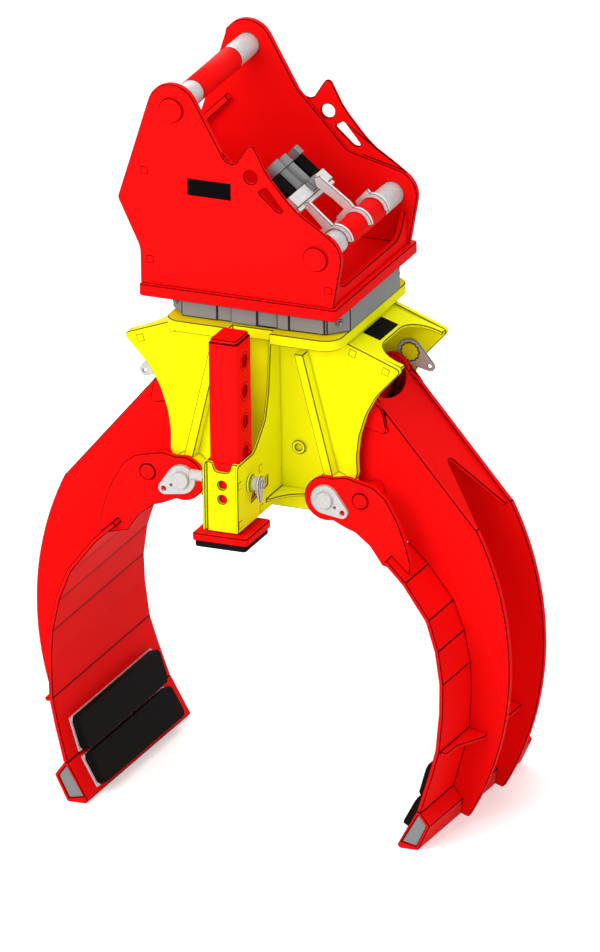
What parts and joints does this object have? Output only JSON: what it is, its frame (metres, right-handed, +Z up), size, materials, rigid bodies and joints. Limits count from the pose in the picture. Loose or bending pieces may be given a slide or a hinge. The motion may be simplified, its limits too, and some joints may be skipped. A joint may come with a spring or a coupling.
{
  "type": "excavator pipe grab",
  "caption": "Pipe grab with turning coupler head, yellow frame with sliding stabiliser columns, and two curved arms worked by one cylinder.",
  "frame": {"origin": "ground point below the middle of the grab as it stands on its arm tips", "axes": "+X to the right arm, +Y along the gripped pipe to the rear, +Z up along the slewing axis"},
  "size_m": [1.6598, 1.158, 2.494],
  "materials": {
    "yellow_paint": "satin yellow paint",
    "red_paint": "satin red paint",
    "grey_paint": "satin grey paint",
    "pin_steel": "turned steel",
    "black_plate": "bare black plate",
    "black_rubber": "matt black rubber",
    "bronze": "bearing bronze",
    "rod_chrome": "polished chrome"
  },
  "bodies": {
    "frame": {"frame_plate_front": "yellow_paint", "frame_plate_rear": "yellow_paint", "frame_core": "yellow_paint", "frame_roof": "yellow_paint", "roof_label": "black_plate", "top_flange": "yellow_paint", "frame_ribs": "yellow_paint", "pivot_hubs": "yellow_paint", "pivot_bushes": "bronze", "ear_pins": "pin_steel", "ear_pin_flags": "pin_steel", "slew_ring_gear": "pin_steel", "slew_ring_bolts": "pin_steel", "sleeve_front": "yellow_paint", "sleeve_rear": "yellow_paint", "pin_bushes": "yellow_paint", "column_front": "red_paint", "column_rear": "red_paint", "column_guides": "bronze", "column_feet": "red_paint", "foot_pads": "black_rubber"},
    "head": {"head_plate_front": "red_paint", "head_plate_rear": "red_paint", "head_base": "red_paint", "head_walls": "red_paint", "head_label": "black_plate", "coupler_pin_upper": "pin_steel", "coupler_pin_lower": "pin_steel", "pin_sleeves": "red_paint", "rotator_housing": "grey_paint", "housing_fittings": "pin_steel", "slew_outer_ring": "pin_steel", "slew_motor": "grey_paint", "hose_bracket": "pin_steel", "coupling_blocks": "black_plate", "hose_couplings": "grey_paint"},
    "pinion": {"slew_pinion": "pin_steel"},
    "arm_right": {"arm_plates_right": "red_paint", "arm_lugs_right": "red_paint", "arm_belly_right": "red_paint", "arm_stiffeners_right": "red_paint", "arm_tip_right": "red_paint", "tip_bar_right": "grey_paint", "grip_pads_right": "black_rubber", "pivot_pins_right": "pin_steel", "cylinder_pin_right": "pin_steel"},
    "arm_left": {"arm_plates_left": "red_paint", "arm_lugs_left": "red_paint", "arm_belly_left": "red_paint", "arm_stiffeners_left": "red_paint", "arm_tip_left": "red_paint", "tip_bar_left": "grey_paint", "grip_pads_left": "black_rubber", "pivot_pins_left": "pin_steel", "cylinder_pin_left": "pin_steel"},
    "cylinder": {"cylinder_barrel": "grey_paint", "cylinder_gland": "pin_steel"},
    "cylinder_rod": {"cylinder_rod": "rod_chrome"},
    "index_pin_front": {"index_pin_front": "pin_steel"},
    "index_pin_rear": {"index_pin_rear": "pin_steel"}
  },
  "joints": [
    {"name": "slew", "type": "hinge", "parent": "frame", "child": "head", "pos_m": [0, 0, 1.74], "axis": [0, 0, 1], "continuous": true},
    {"name": "pinion_spin", "type": "hinge", "parent": "head", "child": "pinion", "pos_m": [-0.13156, 0.04788, 1.7], "axis": [0, 0, 1], "continuous": true},
    {"name": "arm_right_swing", "type": "hinge", "parent": "frame", "child": "arm_right", "pos_m": [0.252, 0, 1.118], "axis": [0, -1, 0], "range_deg": [-3, 15]},
    {"name": "arm_left_swing", "type": "hinge", "parent": "frame", "child": "arm_left", "pos_m": [-0.252, 0, 1.118], "axis": [0, 1, 0], "range_deg": [-3, 15]},
    {"name": "cylinder_pivot", "type": "hinge", "parent": "arm_left", "child": "cylinder", "pos_m": [-0.255, 0, 1.394], "axis": [0, -1, 0], "range_deg": [-4, 16]},
    {"name": "rod_stroke", "type": "slide", "parent": "cylinder", "child": "cylinder_rod", "axis": [1, 0, 0], "range_m": [-0.15, 0.035]},
    {"name": "index_front_pull", "type": "slide", "parent": "frame", "child": "index_pin_front", "axis": [1, 0, 0], "range_m": [0, 0.2]},
    {"name": "index_rear_pull", "type": "slide", "parent": "frame", "child": "index_pin_rear", "axis": [1, 0, 0], "range_m": [0, 0.2]}
  ],
  "couplings": [
    {"joint": "pinion_spin", "follows": "slew", "ratio": -5},
    {"joint": "arm_left_swing", "follows": "arm_right_swing", "ratio": 1},
    {"joint": "cylinder_pivot", "follows": "arm_right_swing", "ratio": 1},
    {"joint": "rod_stroke", "follows": "arm_right_swing", "m_per_rad": -0.5485}
  ]
}
